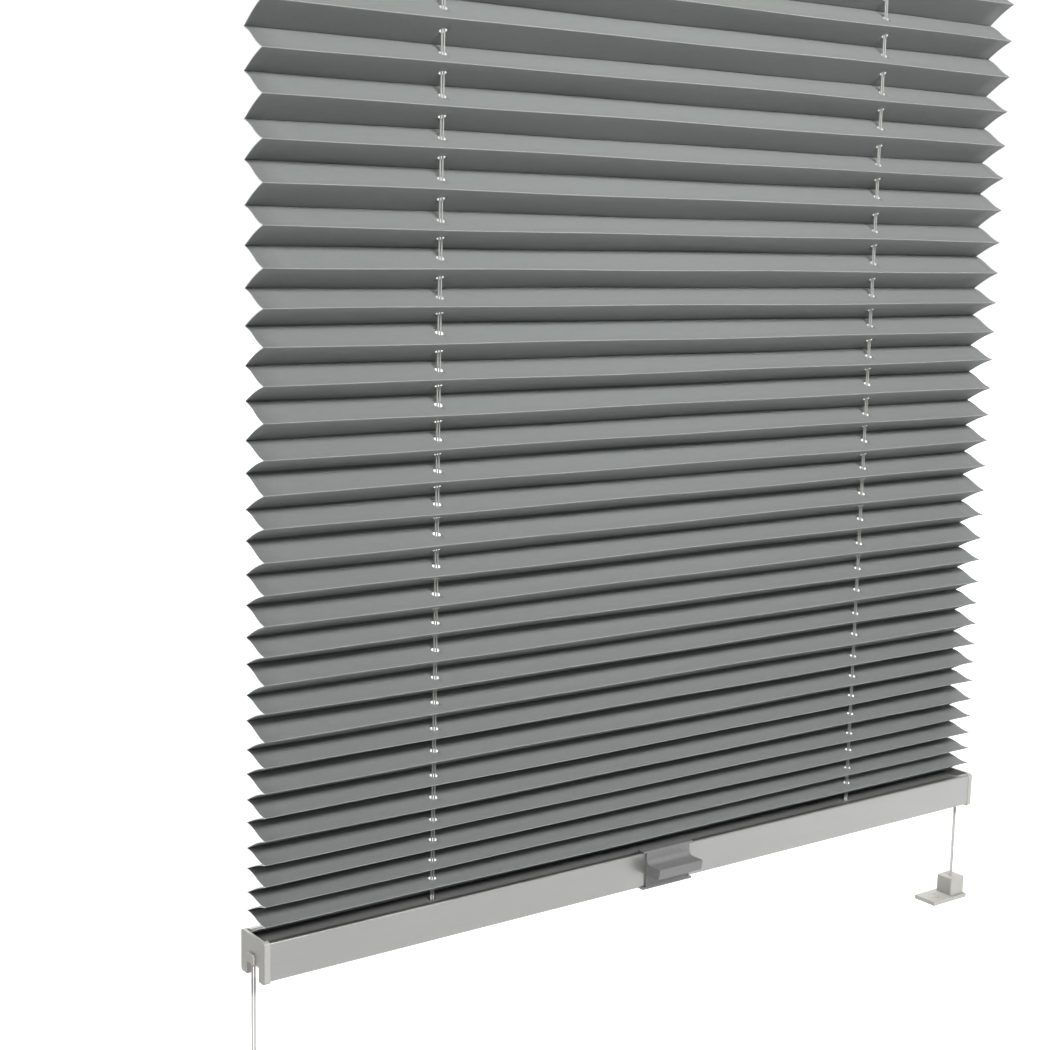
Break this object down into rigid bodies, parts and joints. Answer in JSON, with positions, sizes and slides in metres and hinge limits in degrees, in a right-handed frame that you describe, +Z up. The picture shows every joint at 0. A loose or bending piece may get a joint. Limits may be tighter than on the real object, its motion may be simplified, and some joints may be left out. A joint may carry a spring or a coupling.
{
  "type": "pleated blind",
  "caption": "Pleated window blind: folded fabric between a fixed headrail and a bottom rail that slides up and down tight cords, with a clip-on handle and cord shoes for the sill.",
  "frame": {"origin": "midway between the two brackets, on their top faces, which meet the frame that the blind hangs from", "axes": "+X along the blind to the right seen from the room, +Y from the room towards the glass, +Z up"},
  "size_m": [0.516, 0.036, 0.8159],
  "materials": {
    "rail_aluminium": "satin anodised extrusion",
    "cap_plastic": "fine-grained light warm grey moulding",
    "handle_plastic": "satin grey moulding",
    "guide_plastic": "slippery dark grey moulding",
    "strip_plastic": "dark grey extruded strip",
    "pleated_fabric": "matte dark grey weave on the room side, white coated back",
    "tension_cord": "braided off-white polyester",
    "spring_steel": "bright drawn wire",
    "bracket_steel": "zinc-plated sheet"
  },
  "bodies": {
    "window_side": {"headrail_profile": "rail_aluminium", "headrail_fabric_strip": "strip_plastic", "pleated_fabric": "pleated_fabric", "left_headrail_cap": "cap_plastic", "right_headrail_cap": "cap_plastic", "left_headrail_cord_guide": "guide_plastic", "right_headrail_cord_guide": "guide_plastic", "left_bracket": "bracket_steel", "right_bracket": "bracket_steel", "left_cord_clip": "guide_plastic", "right_cord_clip": "guide_plastic", "left_tension_spring": "spring_steel", "right_tension_spring": "spring_steel", "left_spring_anchor": "bracket_steel", "right_spring_anchor": "bracket_steel", "left_shoe_base": "cap_plastic", "right_shoe_base": "cap_plastic", "left_shoe_cover": "cap_plastic", "right_shoe_cover": "cap_plastic", "left_near_cord_upper": "tension_cord", "right_near_cord_upper": "tension_cord", "left_near_cord_lower": "tension_cord", "right_near_cord_lower": "tension_cord", "left_cross_cord_upper": "tension_cord", "right_cross_cord_upper": "tension_cord", "left_cross_cord_lower": "tension_cord", "right_cross_cord_lower": "tension_cord"},
    "bottom_rail": {"bottom_rail_profile": "rail_aluminium", "bottom_rail_fabric_strip": "strip_plastic", "left_bottom_rail_cap": "cap_plastic", "right_bottom_rail_cap": "cap_plastic", "left_bottom_rail_cord_guide": "guide_plastic", "right_bottom_rail_cord_guide": "guide_plastic", "left_near_cord_rail": "tension_cord", "right_near_cord_rail": "tension_cord", "left_cross_cord_rail": "tension_cord", "right_cross_cord_rail": "tension_cord"},
    "handle": {"handle": "handle_plastic"}
  },
  "joints": [
    {"name": "rail_slide", "type": "slide", "parent": "window_side", "child": "bottom_rail", "axis": [0, 0, 1], "range_m": [-0.048, 0.63], "deforming": ["pleated_fabric", "left_near_cord_upper", "right_near_cord_upper", "left_cross_cord_upper", "right_cross_cord_upper", "left_near_cord_lower", "right_near_cord_lower", "left_cross_cord_lower", "right_cross_cord_lower"]},
    {"name": "handle_slide", "type": "slide", "parent": "bottom_rail", "child": "handle", "axis": [1, 0, 0], "range_m": [-0.22, 0.22]}
  ]
}
